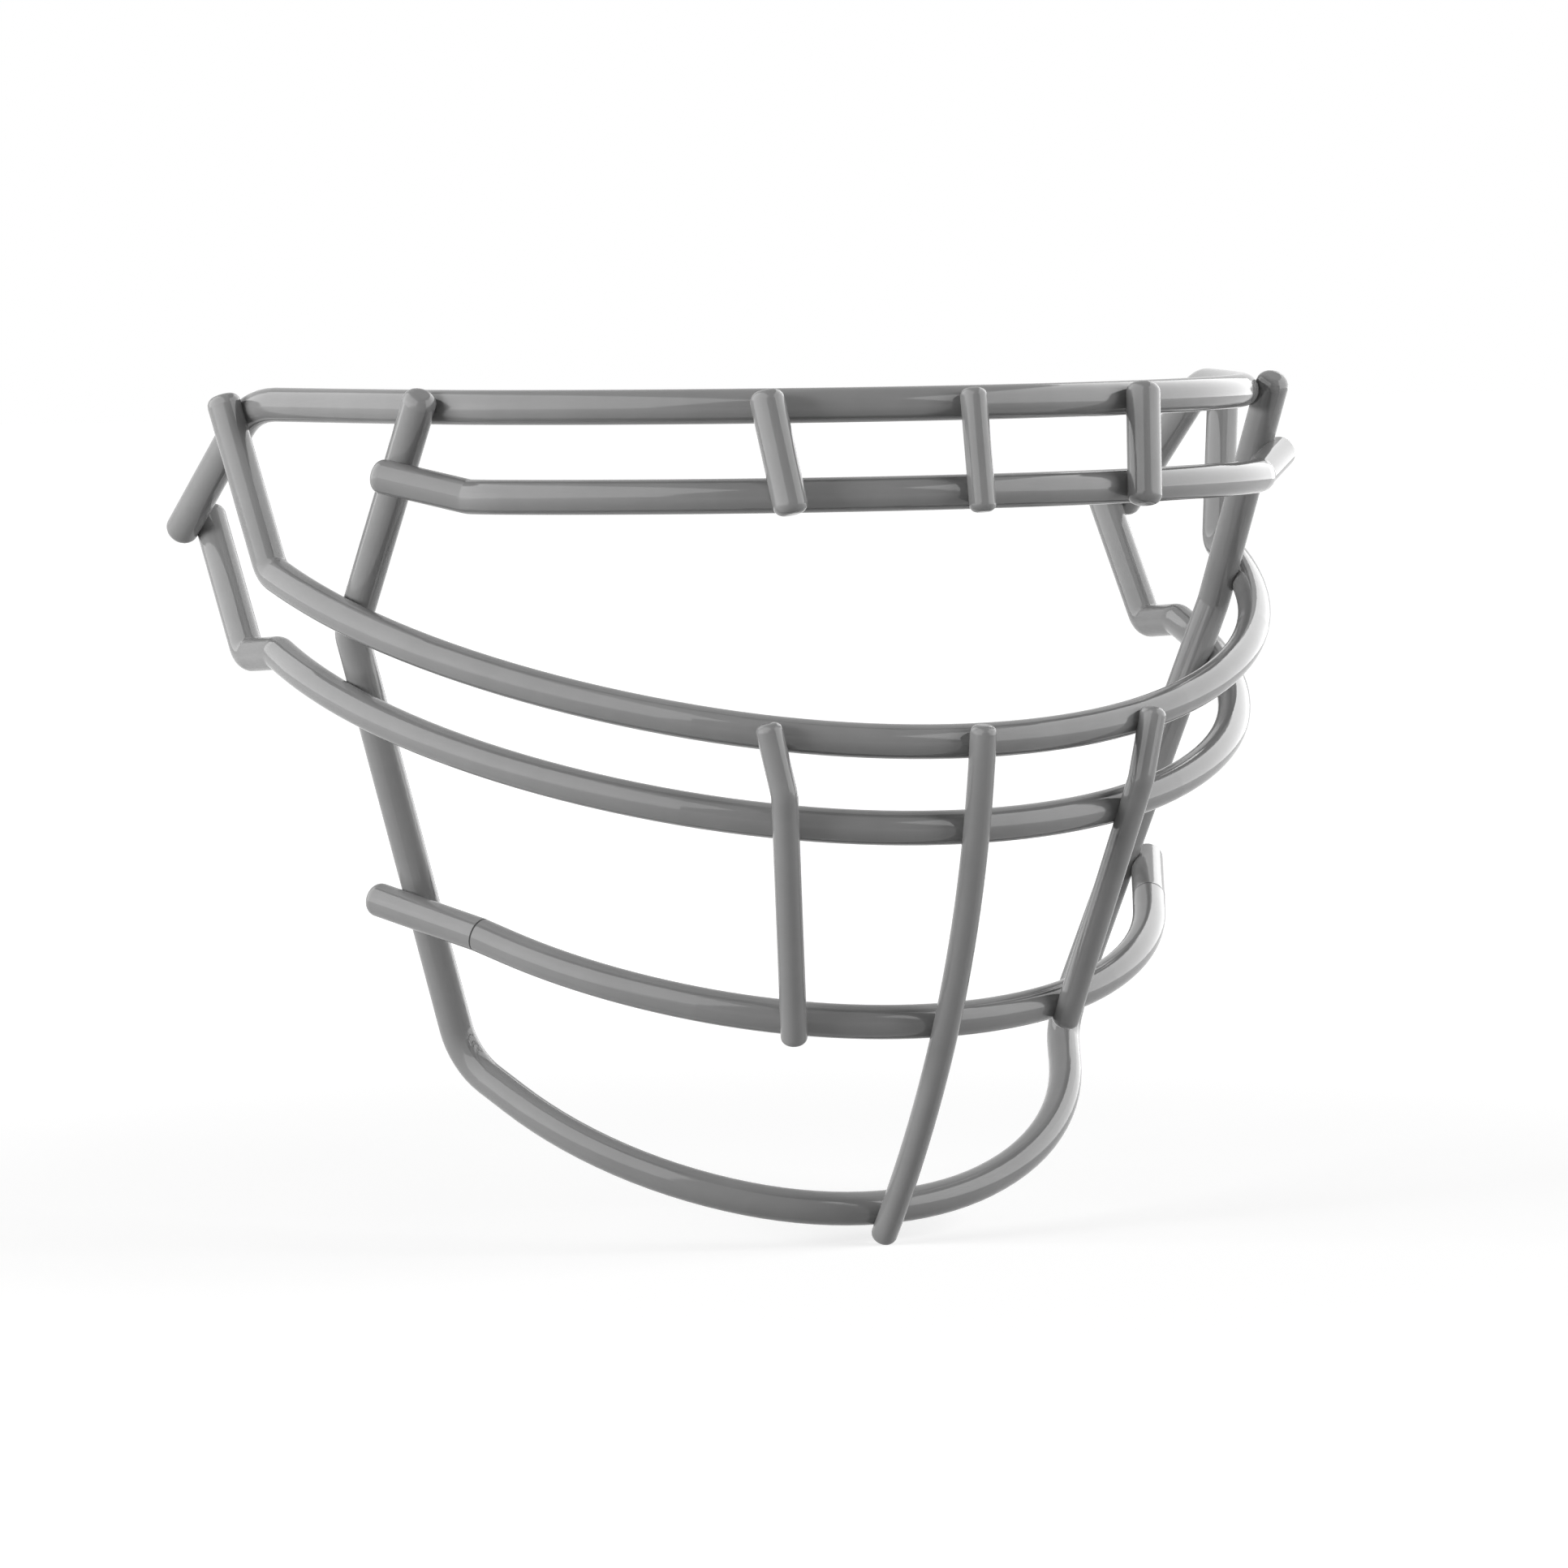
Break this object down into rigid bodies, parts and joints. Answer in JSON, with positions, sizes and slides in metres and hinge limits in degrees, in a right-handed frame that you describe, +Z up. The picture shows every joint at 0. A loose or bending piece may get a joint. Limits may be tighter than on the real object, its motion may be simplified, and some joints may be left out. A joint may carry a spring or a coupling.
{
  "type": "football helmet facemask",
  "caption": "Football helmet facemask: a welded cage of bent, coated steel wires with a brow guard, an open view, jaw bars, uprights, a chin bar and side legs for clip straps.",
  "frame": {"origin": "centre of the cage's bounding box", "axes": "+X towards the wearer's left, -Y out of the face, +Z up; the brow bar lies level"},
  "size_m": [0.2444, 0.1564, 0.18],
  "materials": {
    "steel": "drawn carbon steel wire, bare under the coating",
    "coating": "semi-gloss grey dipped plastic coating"
  },
  "bodies": {
    "root": {"side_frame_core": "steel", "brow_bar_core": "steel", "lower_brow_bar_core": "steel", "upper_jaw_bar_core": "steel", "middle_jaw_bar_core": "steel", "lower_jaw_bar_core": "steel", "brow_upright_left_core": "steel", "brow_upright_right_core": "steel", "brow_upright_centre_core": "steel", "jaw_upright_left_core": "steel", "jaw_upright_right_core": "steel", "chin_upright_core": "steel", "side_frame_coating": "coating", "brow_bar_coating": "coating", "lower_brow_bar_coating": "coating", "upper_jaw_bar_coating": "coating", "middle_jaw_bar_coating": "coating", "lower_jaw_bar_coating": "coating", "brow_upright_left_coating": "coating", "brow_upright_right_coating": "coating", "brow_upright_centre_coating": "coating", "jaw_upright_left_coating": "coating", "jaw_upright_right_coating": "coating", "chin_upright_coating": "coating"}
  },
  "joints": []
}
